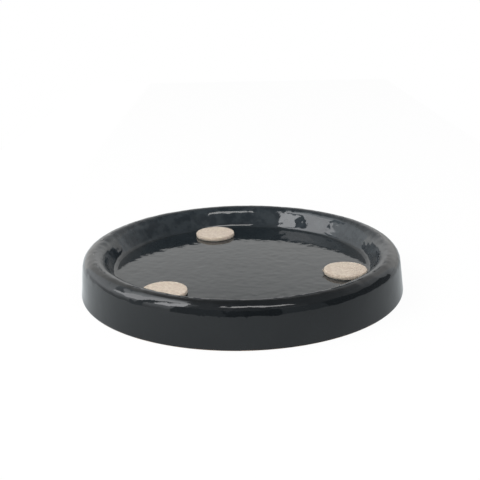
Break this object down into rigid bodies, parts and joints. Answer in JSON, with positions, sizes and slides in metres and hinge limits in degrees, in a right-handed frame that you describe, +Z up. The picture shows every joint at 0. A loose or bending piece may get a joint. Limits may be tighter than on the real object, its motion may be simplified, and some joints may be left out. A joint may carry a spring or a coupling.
{
  "type": "plant saucer",
  "caption": "Round glazed ceramic plant saucer with a thick hollow rim, a shallow dish and felt rest pads stuck on its floor.",
  "frame": {"origin": "centre of the foot, on the surface that the saucer stands on", "axes": "+Z up through the centre of the dish, -Y towards the front of the picture, +X to its right"},
  "size_m": [0.3046, 0.3046, 0.038],
  "materials": {
    "black_glaze": "gloss",
    "beige_felt": "matte",
    "adhesive_film": "satin"
  },
  "bodies": {
    "root": {"saucer_body": "black_glaze", "felt_pad_back": "beige_felt", "pad_adhesive_back": "adhesive_film", "felt_pad_left": "beige_felt", "pad_adhesive_left": "adhesive_film", "felt_pad_right": "beige_felt", "pad_adhesive_right": "adhesive_film"}
  },
  "joints": []
}
